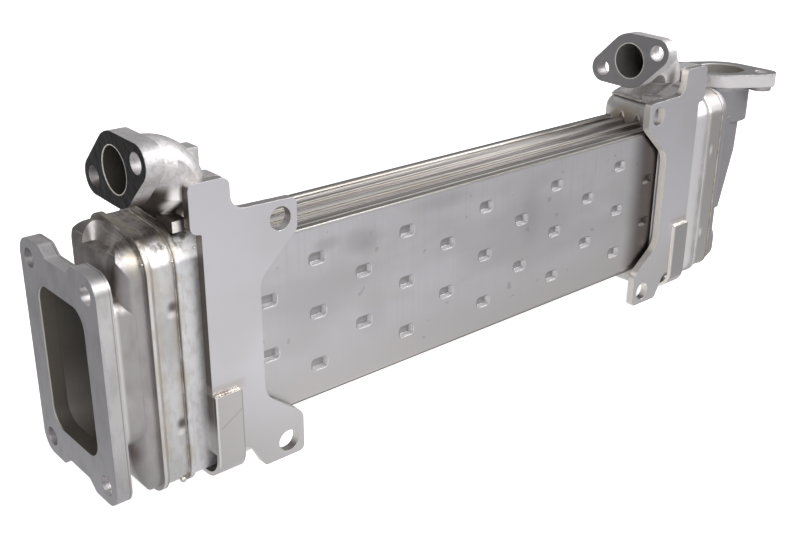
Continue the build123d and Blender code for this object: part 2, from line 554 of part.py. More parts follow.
# Gas outlet elbow: dish on the header, hood that deepens upwards, round riser
# and an oval flange that faces up, with a boss under each ear
OUTLET_BORE_X = OUTLET_CAST_X + OUTLET_BORE_RUN
turn = math.radians(OUTLET_TURN)
outlet_ear = (OUTLET_BOLT_SPAN / 2 * math.cos(turn), OUTLET_BOLT_SPAN / 2 * math.sin(turn))
with BuildPart() as gas_outlet_elbow:
    with BuildSketch(Plane.YZ.offset(OUTLET_CAST_X)):
        add(body_section(-DISH_INSET))
    extrude(amount=DISH_L)
    fillet(gas_outlet_elbow.faces().sort_by(Axis.X)[-1].edges(), DISH_R)
    with BuildPart(mode=Mode.PRIVATE) as plinth:
        with BuildSketch(Plane.YZ.offset(OUTLET_CAST_X)):
            with Locations((0, BODY_FOOT_Z + DISH_INSET + PLINTH_H / 2)):
                RectangleRounded(PLINTH_W, PLINTH_H, PLINTH_R)
        extrude(amount=DISH_L + PLINTH_T)
        fillet(plinth.faces().sort_by(Axis.X)[-1].edges(), PLINTH_EDGE_R)
    add(plinth.part)
    with BuildPart(mode=Mode.PRIVATE) as hood:
        with BuildSketch(Plane.XZ.offset(-HOOD_W / 2)):
            with BuildLine():
                Polyline(
                    (OUTLET_CAST_X, HOOD_FOOT_Z),
                    (OUTLET_CAST_X + HOOD_FOOT_L, HOOD_FOOT_Z),
                    (OUTLET_CAST_X + HOOD_SHOULDER_L, HOOD_SHOULDER_Z),
                    (OUTLET_CAST_X + HOOD_TOP_L, HOOD_TOP_Z + HOOD_ROOF),
                    (OUTLET_CAST_X, HOOD_TOP_Z + HOOD_ROOF),
                    close=True,
                )
            make_face()
        extrude(amount=HOOD_W)
        hood_edges = hood.edges().filter_by(
            lambda e: abs(abs(e.center().Y) - HOOD_W / 2) < 0.1
            and e.center().X > OUTLET_CAST_X + DISH_L + HOOD_START)
        fillet(hood_edges, HOOD_R)
    add(hood.part)
    with BuildSketch(Plane.XY.offset(HOOD_TOP_Z)):
        with Locations((OUTLET_BORE_X, 0)):
            Circle(RISER_R)
    extrude(amount=OUTLET_FACE_Z - HOOD_TOP_Z)
    with BuildSketch(Plane.XY.offset(OUTLET_FACE_Z - OUTLET_FLANGE_T)):
        with Locations((OUTLET_BORE_X, 0)):
            Circle(OUTLET_FLANGE_R)
            with Locations(outlet_ear, (-outlet_ear[0], -outlet_ear[1])):
                Circle(OUTLET_EAR_R)
        make_hull()
    extrude(amount=OUTLET_FLANGE_T)
    with BuildSketch(Plane.XY.offset(OUTLET_FACE_Z - OUTLET_FLANGE_T - BOSS_H)):
        with Locations((OUTLET_BORE_X, 0)):
            with Locations(outlet_ear, (-outlet_ear[0], -outlet_ear[1])):
                Circle(BOSS_D / 2)
    extrude(amount=BOSS_H)
    with BuildPart(mode=Mode.PRIVATE) as outlet_space:
        with BuildSketch(Plane.YZ.offset(OUTLET_CAST_X - 1)):
            add(body_section(-DISH_INSET - CAST_WALL))
        extrude(amount=DISH_L - CAST_WALL + 1)
        with BuildSketch(Plane.XZ.offset(-(HOOD_W / 2 - CAST_WALL))):
            with BuildLine():
                Polyline(
                    (OUTLET_CAST_X, HOOD_FOOT_Z + CAST_WALL),
                    (OUTLET_CAST_X + HOOD_FOOT_L - CAST_WALL, HOOD_FOOT_Z + CAST_WALL),
                    (OUTLET_CAST_X + HOOD_SHOULDER_L - CAST_WALL, HOOD_SHOULDER_Z),
                    (OUTLET_CAST_X + HOOD_TOP_L - CAST_WALL, HOOD_TOP_Z),
                    (OUTLET_CAST_X, HOOD_TOP_Z),
                    close=True,
                )
            make_face()
        extrude(amount=HOOD_W - 2 * CAST_WALL)
        with BuildSketch(Plane.XY.offset(HOOD_TOP_Z - 1)):
            with Locations((OUTLET_BORE_X, 0)):
                Circle(OUTLET_BORE_D / 2)
        extrude(amount=OUTLET_FACE_Z)
    add(outlet_space.part, mode=Mode.SUBTRACT)
    with BuildSketch(Plane.XY.offset(OUTLET_FACE_Z)):
        with Locations((OUTLET_BORE_X, 0)):
            with Locations(outlet_ear, (-outlet_ear[0], -outlet_ear[1])):
                Circle(OUTLET_BOLT_D / 2)
    extrude(amount=-(OUTLET_FLANGE_T + BOSS_H), mode=Mode.SUBTRACT)


gas_inlet_flange.part.label = "gas_inlet_flange"
export_step(gas_inlet_flange.part, "parts/gas_inlet_flange.step")
inlet_diffuser.part.label = "inlet_diffuser"
export_step(inlet_diffuser.part, "parts/inlet_diffuser.step")
inlet_header.part.label = "inlet_header"
export_step(inlet_header.part, "parts/inlet_header.step")
inlet_coolant_tank.part.label = "inlet_coolant_tank"
export_step(inlet_coolant_tank.part, "parts/inlet_coolant_tank.step")
inlet_coolant_elbow.part.label = "inlet_coolant_elbow"
export_step(inlet_coolant_elbow.part, "parts/inlet_coolant_elbow.step")
inlet_bracket.part.label = "inlet_bracket"
export_step(inlet_bracket.part, "parts/inlet_bracket.step")
inlet_strap.part.label = "inlet_strap"
export_step(inlet_strap.part, "parts/inlet_strap.step")
front_cover.part.label = "front_cover"
export_step(front_cover.part, "parts/front_cover.step")
rear_cover.part.label = "rear_cover"
export_step(rear_cover.part, "parts/rear_cover.step")
gas_duct_front.part.label = "gas_duct_front"
export_step(gas_duct_front.part, "parts/gas_duct_front.step")
gas_duct_middle.part.label = "gas_duct_middle"
export_step(gas_duct_middle.part, "parts/gas_duct_middle.step")
gas_duct_rear.part.label = "gas_duct_rear"
export_step(gas_duct_rear.part, "parts/gas_duct_rear.step")
gas_fin_front.part.label = "gas_fin_front"
export_step(gas_fin_front.part, "parts/gas_fin_front.step")
gas_fin_middle.part.label = "gas_fin_middle"
export_step(gas_fin_middle.part, "parts/gas_fin_middle.step")
gas_fin_rear.part.label = "gas_fin_rear"
export_step(gas_fin_rear.part, "parts/gas_fin_rear.step")
top_strip_front.part.label = "top_strip_front"
export_step(top_strip_front.part, "parts/top_strip_front.step")
top_strip_rear.part.label = "top_strip_rear"
export_step(top_strip_rear.part, "parts/top_strip_rear.step")
bottom_strip_front.part.label = "bottom_strip_front"
export_step(bottom_strip_front.part, "parts/bottom_strip_front.step")
bottom_strip_rear.part.label = "bottom_strip_rear"
export_step(bottom_strip_rear.part, "parts/bottom_strip_rear.step")
outlet_coolant_tank.part.label = "outlet_coolant_tank"
export_step(outlet_coolant_tank.part, "parts/outlet_coolant_tank.step")
outlet_header.part.label = "outlet_header"
export_step(outlet_header.part, "parts/outlet_header.step")
outlet_coolant_elbow.part.label = "outlet_coolant_elbow"
export_step(outlet_coolant_elbow.part, "parts/outlet_coolant_elbow.step")
outlet_bracket.part.label = "outlet_bracket"
export_step(outlet_bracket.part, "parts/outlet_bracket.step")
outlet_strap.part.label = "outlet_strap"
export_step(outlet_strap.part, "parts/outlet_strap.step")
gas_outlet_elbow.part.label = "gas_outlet_elbow"
export_step(gas_outlet_elbow.part, "parts/gas_outlet_elbow.step")
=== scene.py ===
import math

import bmesh
import bpy
import numpy as np
from mathutils import Matrix, Vector


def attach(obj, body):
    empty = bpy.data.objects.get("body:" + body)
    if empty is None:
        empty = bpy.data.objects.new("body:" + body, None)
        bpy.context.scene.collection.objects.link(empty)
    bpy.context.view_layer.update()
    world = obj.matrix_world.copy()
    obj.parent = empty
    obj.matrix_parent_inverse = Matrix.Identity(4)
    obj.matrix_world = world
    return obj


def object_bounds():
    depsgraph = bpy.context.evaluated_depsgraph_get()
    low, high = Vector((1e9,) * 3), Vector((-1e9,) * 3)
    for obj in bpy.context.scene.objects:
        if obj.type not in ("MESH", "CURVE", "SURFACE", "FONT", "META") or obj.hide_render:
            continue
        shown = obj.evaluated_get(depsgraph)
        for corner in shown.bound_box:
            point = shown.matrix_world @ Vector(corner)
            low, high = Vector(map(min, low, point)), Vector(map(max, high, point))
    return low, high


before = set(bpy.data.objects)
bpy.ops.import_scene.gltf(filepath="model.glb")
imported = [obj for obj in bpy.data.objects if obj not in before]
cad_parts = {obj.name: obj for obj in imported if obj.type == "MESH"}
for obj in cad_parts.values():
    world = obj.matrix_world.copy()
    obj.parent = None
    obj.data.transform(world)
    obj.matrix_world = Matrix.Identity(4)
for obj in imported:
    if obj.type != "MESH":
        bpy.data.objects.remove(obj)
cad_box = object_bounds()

# Viewpoint. The photograph looks at the cooler from the gas inlet end, a little
# above, with a lens of about 49 mm on a 36 mm wide frame.
EYE = Vector((-0.16222, -0.39658, 0.21676))
YAW, PITCH, ROLL = math.radians(41.245), math.radians(22.522), math.radians(0.369)
FOCAL, FRAME_WIDTH = 48.91, 36.0

forward = Vector((math.sin(YAW) * math.cos(PITCH), math.cos(YAW) * math.cos(PITCH), -math.sin(PITCH)))
level = Vector((math.cos(YAW), -math.sin(YAW), 0.0))
upright = level.cross(forward)
right = level * math.cos(ROLL) + upright * math.sin(ROLL)
up = upright * math.cos(ROLL) - level * math.sin(ROLL)
lens = bpy.data.cameras.new("camera")
lens.lens = FOCAL
lens.sensor_width = FRAME_WIDTH
lens.clip_start = 0.01
camera = bpy.data.objects.new("camera", lens)
turn = Matrix((right, up, -forward)).transposed()
camera.matrix_world = Matrix.Translation(EYE) @ turn.to_4x4()
bpy.context.collection.objects.link(camera)
bpy.context.scene.camera = camera
bpy.context.scene.view_settings.view_transform = "Standard"

# Gas inlet flange. Thick stainless plate, cut to shape, with a face ground flat
# for the gasket and a mouth that the exhaust gas has stained inside.
MM_PER_M = 1000.0
COLOUR_UNDER, COLOUR_OVER, COLOUR_OUT = 6, 7, 2
BLOT_CORE = 0.15
MOUTH_HALF_Y, MOUTH_HALF_Z = 21.5, 34.8
EDGE_LINE_X = 6.0


class SteelSkin:
    """Bare steel, painted in layers. Every mask is worked out from the place on the
    object in millimetres or from which way the surface faces. The edge is the radius
    by which sharp edges look rounded."""

    def __init__(self, name, tone, roughness, edge=0.35):
        self.material = bpy.data.materials.new(name)
        self.material.use_nodes = True
        self.tree = self.material.node_tree
        self.shader = self.tree.nodes["Principled BSDF"]
        spot = self.add("ShaderNodeTexCoord").outputs["Object"]
        in_mm = (MM_PER_M,) * 3
        self.place = self.add("ShaderNodeVectorMath", spot, in_mm, operation="MULTIPLY").outputs[0]
        self.x, self.y, self.z = self.add("ShaderNodeSeparateXYZ", self.place).outputs
        facing = self.add("ShaderNodeNewGeometry").outputs["Normal"]
        self.nx, self.ny, self.nz = self.add("ShaderNodeSeparateXYZ", facing).outputs
        self.colour, self.roughness, self.metal = tone, roughness, 1.0
        bevel = self.add("ShaderNodeBevel", samples=4)
        bevel.inputs["Radius"].default_value = edge / MM_PER_M
        self.surface = bevel.outputs[0]

    def feed(self, socket, value):
        """Puts another socket, a number, a vector or a colour into a socket."""
        if isinstance(value, bpy.types.NodeSocket):
            self.tree.links.new(value, socket)
        else:
            socket.default_value = (*value, 1.0) if socket.type == "RGBA" else value

    def add(self, kind, *values, **settings):
        """One node with its settings and its inputs in order. None leaves one out."""
        node = self.tree.nodes.new(kind)
        for key, value in settings.items():
            setattr(node, key, value)
        for socket, value in zip(node.inputs, values):
            if value is not None:
                self.feed(socket, value)
        return node

    def calc(self, operation, a, b=0.0):
        """Math node on one or two values."""
        return self.add("ShaderNodeMath", a, b, operation=operation).outputs[0]

    def apart(self, value, middle=0.0):
        """Distance of a value from the middle, on either side."""
        return self.calc("ABSOLUTE", self.calc("SUBTRACT", value, middle) if middle else value)

    def across(self, a, b):
        """Length of the slanting line over two legs: the root of a a + b b."""
        squares = [self.calc("POWER", leg, 2.0) for leg in (a, b)]
        return self.calc("SQRT", self.calc("ADD", *squares))

    def rest(self, mask):
        """What a mask leaves free: 1 - mask."""
        return self.calc("SUBTRACT", 1.0, mask)

    def ramp(self, value, low, high):
        """Smooth step from 0 at low to 1 at high, low above high turns it round."""
        if low > high:
            return self.rest(self.ramp(value, high, low))
        limits = (low, high, 0.0, 1.0)
        return self.add("ShaderNodeMapRange", value, *limits, interpolation_type="SMOOTHSTEP").outputs[0]

    def near(self, value, middle, reach, soft):
        """1 within reach of the middle, fading to 0 over the soft distance."""
        return self.ramp(self.apart(value, middle), reach + soft, reach)

    def all_of(self, *masks):
        """Product of masks."""
        out = masks[0]
        for mask in masks[1:]:
            out = self.calc("MULTIPLY", out, mask)
        return out

    def any_of(self, *masks):
        """Largest of masks."""
        out = masks[0]
        for mask in masks[1:]:
            out = self.calc("MAXIMUM", out, mask)
        return out

    def cloud(self, per_mm, detail=2.0, shift=0.0):
        """Noise with so many cells to a millimetre, alike or along X, Y and Z. Detail
        is its number of finer layers, and shift moves it to another place."""
        cells = (per_mm,) * 3 if isinstance(per_mm, float) else per_mm
        grown = self.add("ShaderNodeVectorMath", self.place, cells, operation="MULTIPLY").outputs[0]
        offset = (shift, -shift, shift)
        moved = self.add("ShaderNodeVectorMath", grown, offset, operation="ADD").outputs[0]
        node = self.add("ShaderNodeTexNoise")
        self.feed(node.inputs["Vector"], moved)
        self.feed(node.inputs["Scale"], 1.0)
        self.feed(node.inputs["Detail"], detail)
        return node.outputs[0]

    def patches(self, per_mm, low, high, detail=2.0, shift=0.0):
        """Patches where the noise is over high, gone where it is under low."""
        return self.ramp(self.cloud(per_mm, detail, shift), low, high)

    def blot(self, centre, reach):
        """Soft ellipsoid spot: 1 in its core, 0 at its reach."""
        away = self.add("ShaderNodeVectorMath", self.place, centre, operation="SUBTRACT").outputs[0]
        scaled = self.add("ShaderNodeVectorMath", away, reach, operation="DIVIDE").outputs[0]
        length = self.add("ShaderNodeVectorMath", scaled, operation="LENGTH").outputs["Value"]
        return self.ramp(length, 1.0, BLOT_CORE)

    def lay(self, mask, colour, share=1.0):
        """Lays a colour over what is there, as far as the mask and its share say. The
        colours of a mix node are its sockets 6 and 7, and its output 2."""
        if share < 1.0:
            mask = self.calc("MULTIPLY", mask, share)
        node = self.add("ShaderNodeMix", mask, data_type="RGBA")
        self.feed(node.inputs[COLOUR_UNDER], self.colour)
        self.feed(node.inputs[COLOUR_OVER], colour)
        self.colour = node.outputs[COLOUR_OUT]

    def dull(self, mask, roughness):
        """Changes the roughness as far as the mask says."""
        node = self.add("ShaderNodeMix", mask, None, self.roughness, roughness, data_type="FLOAT")
        self.roughness = node.outputs[0]

    def hide_metal(self, mask, share):
        """Less metal under soot, in the bores and under painted light: metallic = 1 - share x mask."""
        self.metal = self.rest(self.calc("MULTIPLY", mask, share))

    def press(self, height, depth):
        """Adds a height to the surface, depth in millimetres."""
        node = self.add("ShaderNodeBump")
        self.feed(node.inputs["Distance"], depth / MM_PER_M)
        self.feed(node.inputs["Height"], height)
        self.feed(node.inputs["Normal"], self.surface)
        self.surface = node.outputs[0]

    def dress(self, *pieces):
        """Closes the material and puts it on CAD nodes and scene pieces."""
        self.feed(self.shader.inputs["Base Color"], self.colour)
        self.feed(self.shader.inputs["Roughness"], self.roughness)
        self.feed(self.shader.inputs["Metallic"], self.metal)
        self.feed(self.shader.inputs["Normal"], self.surface)
        for piece in pieces:
            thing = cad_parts[piece] if isinstance(piece, str) else piece
            if thing.material_slots:
                for holder in thing.material_slots:
                    holder.material = self.material
            else:
                thing.data.materials.append(self.material)


flange = SteelSkin("ground_flange", (0.72, 0.695, 0.705), roughness=0.38)
gasket_face = flange.ramp(flange.nx, -0.8, -0.95)
edge_round = flange.ramp(flange.apart(flange.nx), 0.5, 0.3)
mouth = flange.all_of(edge_round, flange.near(flange.y, 0.0, MOUTH_HALF_Y, 0.2),
                      flange.near(flange.z, 0.0, MOUTH_HALF_Z, 0.2))
mouth_rim = flange.all_of(mouth, flange.ramp(flange.x, 0.8, 0.3), flange.ramp(flange.y, 12.0, 17.0))
specks = flange.patches((0.3, 0.3, 0.12), 0.5, 0.68, detail=4.0, shift=15.0)
wiped_patches = flange.patches((0.1, 0.09, 0.06), 0.42, 0.7, detail=3.0, shift=4.0)
flange.lay(flange.patches((0.05, 0.05, 0.03), 0.35, 0.7), (0.62, 0.595, 0.60))
flange.lay(gasket_face, (0.55, 0.535, 0.57))
flange.lay(flange.all_of(gasket_face, wiped_patches), (0.46, 0.45, 0.475))
flange.lay(specks, (0.45, 0.43, 0.43), share=0.3)
flange.lay(flange.all_of(edge_round, flange.near(flange.x, EDGE_LINE_X, 0.08, 0.3)), (0.42, 0.39, 0.38))
flange.lay(mouth, (0.13, 0.115, 0.10))
flange.lay(mouth_rim, (0.72, 0.67, 0.60))
flange.dull(gasket_face, 0.3)
flange.dull(mouth, 0.5)
flange.hide_metal(mouth, 0.6)
flange.press(flange.cloud((2.5, 0.3, 2.5)), 0.012)
flange.press(flange.cloud(0.25, shift=9.0), 0.05)
flange.dress("gas_inlet_flange")

# Weld beads. Each joint is closed by a thin run of filler: the flange to the neck,
# the lips to the headers, the tanks to the core, and the feet of the elbows.
NECK_X, NECK_HALF_Y, NECK_HALF_Z, NECK_CORNER = 7.6, 23.0, 36.3, 10.5
BODY_CORNERS = np.array([(-23.0, -62.0), (23.0, -62.0), (23.0, 59.75), (-23.0, 56.25)])
BODY_RADII = np.array([10.0, 10.0, 9.5, 15.0])
DIFFUSER_SEAM_X = 30.1
SEAMS = (("diffuser_seam", DIFFUSER_SEAM_X), ("inlet_tank_seam", 40.9), ("outlet_tank_seam", 423.6),
         ("outlet_cast_seam", 437.4))
RIPPLE_POINTS = 4
MERGE_REACH = 2e-6


def rounded_outline(corners, radii, steps=14):
    """Closed outline with round corners. Each corner has the circle that touches
    both of its sides, and the outline follows it from one side to the other."""
    back = np.roll(corners, 1, axis=0) - corners
    ahead = np.roll(corners, -1, axis=0) - corners
    back /= np.linalg.norm(back, axis=1, keepdims=True)
    ahead /= np.linalg.norm(ahead, axis=1, keepdims=True)
    half = np.arccos(np.clip((back * ahead).sum(1), -1, 1)) / 2
    middle = (back + ahead) / np.linalg.norm(back + ahead, axis=1, keepdims=True)
    centres = corners + middle * (radii / np.sin(half))[:, None]
    begin = corners + back * (radii / np.tan(half))[:, None] - centres
    end = corners + ahead * (radii / np.tan(half))[:, None] - centres
    a0 = np.arctan2(begin[:, 1], begin[:, 0])
    sweep = (np.arctan2(end[:, 1], end[:, 0]) - a0 + np.pi) % (2 * np.pi) - np.pi
    angles = a0[:, None] + sweep[:, None] * np.linspace(0, 1, steps)
    points = centres[:, None] + radii[:, None, None] * np.stack((np.cos(angles), np.sin(angles)), -1)
    return points.reshape(-1, 2)


def rounded_oblong(half_wide, half_high, corner):
    """Closed outline of an oblong round the origin with four like corners."""
    signs = np.array([(-1, -1), (1, -1), (1, 1), (-1, 1)])
    return rounded_outline(signs * (half_wide, half_high), np.full(4, corner))


def evenly(path, spacing, closed):
    """The same path with points at even steps of its length."""
    run = np.vstack((path, path[:1])) if closed else path
    along = np.concatenate(([0.0], np.cumsum(np.linalg.norm(np.diff(run, axis=0), axis=1))))
    count = max(int(along[-1] / spacing), 6)
    steps = np.linspace(0, along[-1], count + 1)[: count if closed else None]
    return np.stack([np.interp(steps, along, run[:, k]) for k in range(3)], 1)


def steel_piece(name, points, faces):
    """Mesh object from points in millimetres, doubles merged and faces outwards."""
    mesh = bpy.data.meshes.new(name)
    mesh.from_pydata((points / MM_PER_M).tolist(), [], faces.tolist())
    form = bmesh.new()
    form.from_mesh(mesh)
    bmesh.ops.remove_doubles(form, verts=form.verts, dist=MERGE_REACH)
    bmesh.ops.recalc_face_normals(form, faces=form.faces)
    form.to_mesh(mesh)
    form.free()
    mesh.shade_smooth()
    piece = bpy.data.objects.new(name, mesh)
    bpy.context.collection.objects.link(piece)
    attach(piece, "root")
    return piece


def weld_bead(name, path, flat, radius, pitch, closed=True, sides=10):
    """Rippled bead. A point of the path is the centre of a ring r(s) (cos t, sin t)
    in the plane of flat and tangent x flat, with r(s) = radius (0.9 + 0.2 wave(s) +
    0.08 sin(0.37 s)), where the wave climbs slowly and drops at once, and an open
    bead ends in points."""
    line = evenly(np.asarray(path, float), pitch / RIPPLE_POINTS, closed)
    tangent = np.roll(line, -1, 0) - np.roll(line, 1, 0) if closed else np.gradient(line, axis=0)
    tangent /= np.linalg.norm(tangent, axis=1, keepdims=True)
    flat = np.broadcast_to(np.array(flat, float), line.shape)
    side = np.cross(tangent, flat)
    side /= np.linalg.norm(side, axis=1, keepdims=True)
    step = np.arange(len(line))
    wave = (step % RIPPLE_POINTS) / (RIPPLE_POINTS - 1)
    swell = radius * (0.9 + 0.2 * wave + 0.08 * np.sin(step * 0.37))
    if not closed:
        swell = swell * np.sqrt(np.clip(1 - np.abs(2 * step / (len(line) - 1) - 1) ** 8, 0, 1))
    t = np.linspace(0, 2 * np.pi, sides, endpoint=False)[None, :, None]
    rings = line[:, None] + swell[:, None, None] * (np.cos(t) * flat[:, None] + np.sin(t) * side[:, None])
    i, j = np.meshgrid(np.arange(len(line) - (not closed)), np.arange(sides), indexing="ij")
    k, l = (i + 1) % len(line), (j + 1) % sides
    faces = np.stack((i * sides + j, k * sides + j, k * sides + l, i * sides + l), -1).reshape(-1, 4)
    return steel_piece(name, rings.reshape(-1, 3), faces)


def at_station(x, outline):
    """An outline in Y and Z, put at a station along X."""
    return np.column_stack((np.full(len(outline), x), outline))


neck_outline = rounded_oblong(NECK_HALF_Y, NECK_HALF_Z, NECK_CORNER)
beads = [weld_bead("flange_bead", at_station(NECK_X, neck_outline), (1, 0, 0), radius=1.15, pitch=2.0)]
body_outline = rounded_outline(BODY_CORNERS, BODY_RADII)
for name, x in SEAMS:
    beads.append(weld_bead(name, at_station(x, body_outline), (1, 0, 0), radius=0.45, pitch=1.2))

# Ridge fillets. Where a peaked strip runs into a tank wall, a short fillet of
# filler closes the gap on both sides of its ridge, above and below the core.
RIDGE_Y, RIDGE_Z, VALLEY_Z = 5.95, 50.2, 45.9
RIDGE_HALF, VALLEY_HALF = 0.3, 2.3

for name, x in (("inlet_ridge_bead", 83.7), ("outlet_ridge_bead", 371.1)):
    for side, y in (("front", -RIDGE_Y), ("rear", RIDGE_Y)):
        for level_name, sign in (("top", 1.0), ("foot", -1.0)):
            profile = [(y - VALLEY_HALF, VALLEY_Z * sign), (y - RIDGE_HALF, RIDGE_Z * sign),
                       (y + RIDGE_HALF, RIDGE_Z * sign), (y + VALLEY_HALF, VALLEY_Z * sign)]
            run = at_station(x, np.array(profile))
            bead_name = f"{name}_{side}_{level_name}"
            beads.append(weld_bead(bead_name, run, (1, 0, 0), radius=0.55, pitch=1.2, closed=False))

# Foot beads. Each elbow's foot is welded all round to the top of its tank, which
# slopes a little and then rounds off towards the rear.
FOOT_HALF_X, FOOT_HALF_Y, FOOT_CORNER, FOOT_Y = 6.0, 13.0, 4.5, 5.5
TANK_TOP_Z, TANK_SLOPE = 58.0, 3.5 / 46
SHOULDER_Y, SHOULDER_Z, SHOULDER_RADIUS, SHOULDER_FROM_Y = 13.5, 49.5, 9.5, 12.8

foot_outline = rounded_oblong(FOOT_HALF_X, FOOT_HALF_Y, FOOT_CORNER)
foot_y = foot_outline[:, 1] + FOOT_Y
slope_z = TANK_TOP_Z + foot_y * TANK_SLOPE
past_shoulder = np.clip(foot_y - SHOULDER_Y, 0, SHOULDER_RADIUS)
round_z = SHOULDER_Z + np.sqrt(np.clip(SHOULDER_RADIUS ** 2 - past_shoulder ** 2, 0, None))
foot_z = np.where(foot_y > SHOULDER_FROM_Y, round_z, slope_z)
for name, x in (("inlet_foot_bead", 51.0), ("outlet_foot_bead", 381.0)):
    ring = np.column_stack((foot_outline[:, 0] + x, foot_y, foot_z))
    beads.append(weld_bead(name, ring, (0, 0, 1), radius=1.1, pitch=1.8))

# Strap fillets. Along the top of each strap runs a short fillet to the bracket,
# bright filler with brown and pale heat colours like all the beads.
STRAP_EDGES = ((52.6, 66.6), (388.4, 402.4))
STRAP_TOP_Y, STRAP_TOP_Z, STRAP_INSET = -27.9, -19.9, 0.2

for name, (left_x, right_x) in zip(("inlet_strap_bead", "outlet_strap_bead"), STRAP_EDGES):
    run = np.array([(left_x + STRAP_INSET, STRAP_TOP_Y, STRAP_TOP_Z),
                    ((left_x + right_x) / 2, STRAP_TOP_Y - 0.1, STRAP_TOP_Z + 0.1),
                    (right_x - STRAP_INSET, STRAP_TOP_Y, STRAP_TOP_Z)])
    beads.append(weld_bead(name, run, (0, 0, 1), radius=0.6, pitch=1.6, closed=False))

filler = SteelSkin("weld_filler", (0.62, 0.59, 0.565), roughness=0.42, edge=0.1)
filler.lay(filler.patches(0.25, 0.42, 0.62, detail=3.0), (0.47, 0.42, 0.385))
filler.lay(filler.patches(0.12, 0.5, 0.66, shift=7.0), (0.78, 0.75, 0.70))
filler.press(filler.cloud(1.6), 0.06)
filler.dress(*beads)

# Weld drops. Small bright beads of spatter stick to the sheet beside the seams. The
# largest is at the foot of the header, and one sits on the coolant elbow's flange.
DROPS = np.array([
    (27.0, -22.4, 48.3, 0.7), (29.0, -22.9, 45.6, 0.6), (40.2, -23.0, 46.5, 0.8), (38.0, -20.0, 52.2, 0.8),
    (49.6, -25.5, 51.0, 0.8), (38.6, -20.5, -59.6, 1.6), (34.5, -12.9, 74.7, 0.9),
])


def weld_drops(name, drops, rows=8, columns=12):
    """Domes on a grid of latitude a and longitude b: centre + r (cos a cos b, cos a
    sin b, sin a), all drops at once, with the poles merged."""
    a = np.linspace(-np.pi / 2, np.pi / 2, rows)[:, None]
    b = np.linspace(0, 2 * np.pi, columns, endpoint=False)[None, :]
    ball = np.stack((np.cos(a) * np.cos(b), np.cos(a) * np.sin(b), np.sin(a) + 0 * b), -1).reshape(-1, 3)
    points = drops[:, None, :3] + drops[:, None, 3:] * ball[None]
    i, j = np.meshgrid(np.arange(rows - 1), np.arange(columns), indexing="ij")
    one = np.stack((i * columns + j, i * columns + (j + 1) % columns,
                    (i + 1) * columns + (j + 1) % columns, (i + 1) * columns + j), -1).reshape(-1, 4)
    faces = one[None] + (np.arange(len(drops)) * rows * columns)[:, None, None]
    return steel_piece(name, points.reshape(-1, 3), faces.reshape(-1, 4))


spatter = SteelSkin("bright_drops", (0.78, 0.755, 0.72), roughness=0.35, edge=0.05)
spatter.lay(spatter.patches(0.6, 0.45, 0.65), (0.70, 0.66, 0.58))
spatter.dress(weld_drops("weld_drops", DROPS))

# Pressed sheet. Diffuser, headers and tanks are drawn from thin stainless sheet,
# smooth and fairly bright, with straw and brown heat colours beside the welds.
INLET_TANK_X, INLET_TANK_HALF = 62.5, 21.0
OUTLET_TANK_X, OUTLET_TANK_HALF = 412.0, 9.5
DIFFUSER_NECK_X, DIFFUSER_CREST_X = 10.5, 28.4
HEATED_X = (9.0, 30.5, 41.0, 371.0, 424.5, 437.0)
INLET_HEADER_X, HEADER_HOLE_HALF = 39.5, 21.4
STRAW, BROWN = (0.58, 0.51, 0.41), (0.30, 0.25, 0.215)
SOOT, PALE_SOOT = (0.10, 0.09, 0.083), (0.24, 0.22, 0.20)
DENT_HIGHLIGHT, PIT_HIGHLIGHT = (0.95, 0.91, 0.88), (0.92, 0.89, 0.87)

# Spots on the sheet: heat marks, painted shade above and a painted highlight below each of two dents in the
# rim of the inlet header, and painted highlights on two pits on the outlet header.
SHEET_BLOTS = (
    ((24, -20, 50), (5, 9, 10), 0.4, (0.66, 0.58, 0.43)),
    ((14, -20, -38), (9, 8, 7), 0.75, (0.25, 0.20, 0.18)),
    ((33, -18.7, 55), (3, 4, 3), 0.7, (0.22, 0.20, 0.19)),
    ((38.8, -23, 26.4), (3.4, 4, 3.6), 0.9, (0.15, 0.13, 0.12)),
    ((38.2, -23, 22.6), (3.2, 4, 2.4), 0.8, DENT_HIGHLIGHT),
    ((38.9, -23, -29.6), (3.4, 4, 4.0), 0.9, (0.12, 0.10, 0.10)),
    ((38.4, -23, -34.0), (3.0, 4, 2.6), 0.8, DENT_HIGHLIGHT),
    ((429, -23, 20.6), (2.4, 3, 5), 0.8, PIT_HIGHLIGHT),
    ((427.6, -23, -35), (2.6, 3, 4.5), 0.8, PIT_HIGHLIGHT),
    ((376, 5, 48), (8, 22, 7), 0.8, (0.50, 0.41, 0.28)),
    ((81, -21, 48), (8, 8, 12), 0.5, (0.30, 0.27, 0.25)),
)

sheet = SteelSkin("pressed_sheet_steel", (0.74, 0.725, 0.735), roughness=0.44)
front = sheet.ramp(sheet.ny, -0.3, -0.6)
flat_top = sheet.ramp(sheet.nz, 0.75, 0.95)
inlet_end = sheet.ramp(sheet.x, 90.0, 80.0)
gas_side = sheet.ramp(sheet.x, DIFFUSER_SEAM_X + 0.3, DIFFUSER_SEAM_X - 0.3)
lit_inlet_tank_face = sheet.all_of(front, sheet.near(sheet.x, INLET_TANK_X, INLET_TANK_HALF, 0.5))
shoulder_highlight = sheet.all_of(sheet.near(sheet.nz, 0.5, 0.2, 0.15), sheet.ramp(sheet.ny, -0.2, -0.5),
                        sheet.ramp(sheet.x, 30.2, 31.0))
mottle = sheet.patches((0.35, 0.3, 0.2), 0.44, 0.66, detail=5.0, shift=17.0)
sheet.lay(sheet.patches((0.03, 0.05, 0.03), 0.4, 0.7, detail=3.0), (0.56, 0.55, 0.55))
# Painted light brightens the front face of the inlet tank.
sheet.lay(lit_inlet_tank_face, (0.80, 0.79, 0.81))
# A painted highlight lies along the rounded top front corners of the headers and tanks.
sheet.lay(shoulder_highlight, (0.96, 0.94, 0.95))
sheet.lay(mottle, (0.50, 0.475, 0.46), share=0.35)
